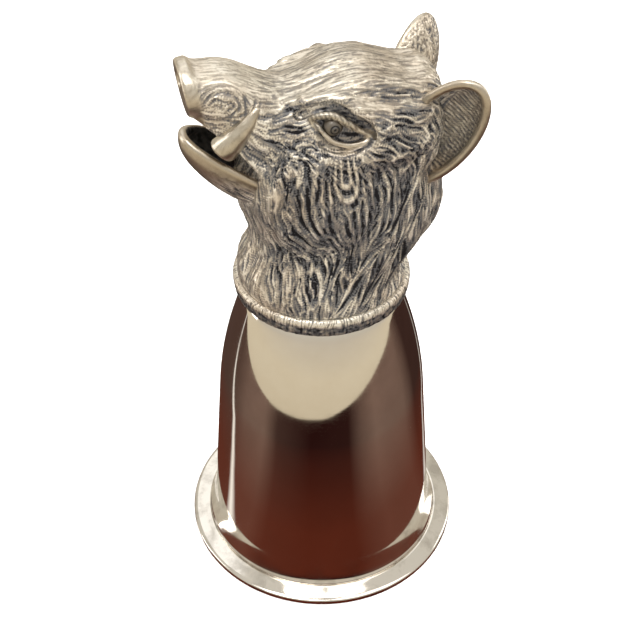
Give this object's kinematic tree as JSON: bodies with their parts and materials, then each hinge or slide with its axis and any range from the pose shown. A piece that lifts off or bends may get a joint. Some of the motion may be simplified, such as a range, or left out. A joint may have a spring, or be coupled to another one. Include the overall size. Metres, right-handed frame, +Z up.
{
  "type": "stirrup cup",
  "caption": "Polished silver stirrup cup that stands mouth down on a flat rim, with a cast boar's head as its foot, joined by a collar.",
  "frame": {"origin": "centre of the rim's flat face, on the surface that the cup stands on", "axes": "+Z up along the cup's axis to the head, -Y the way the boar's snout points, +X the boar's left side"},
  "size_m": [0.086, 0.086, 0.1717],
  "materials": {
    "polished_silver": "polished",
    "patinated_silver": "satin",
    "plated_washer": "satin",
    "plated_screw": "satin",
    "leather_seal": "matte",
    "brass_plate": "satin"
  },
  "bodies": {
    "root": {"rim_flange": "polished_silver", "cup_body": "polished_silver", "neck_collar": "patinated_silver", "head_shell": "patinated_silver", "lower_jaw": "patinated_silver", "tongue": "patinated_silver", "left_eye": "patinated_silver", "right_eye": "patinated_silver", "left_tusk": "patinated_silver", "right_tusk": "patinated_silver", "left_ear": "patinated_silver", "right_ear": "patinated_silver", "cup_washer": "plated_washer", "fixing_screw": "plated_screw", "seal_washer": "leather_seal", "neck_plate": "brass_plate"}
  },
  "joints": []
}
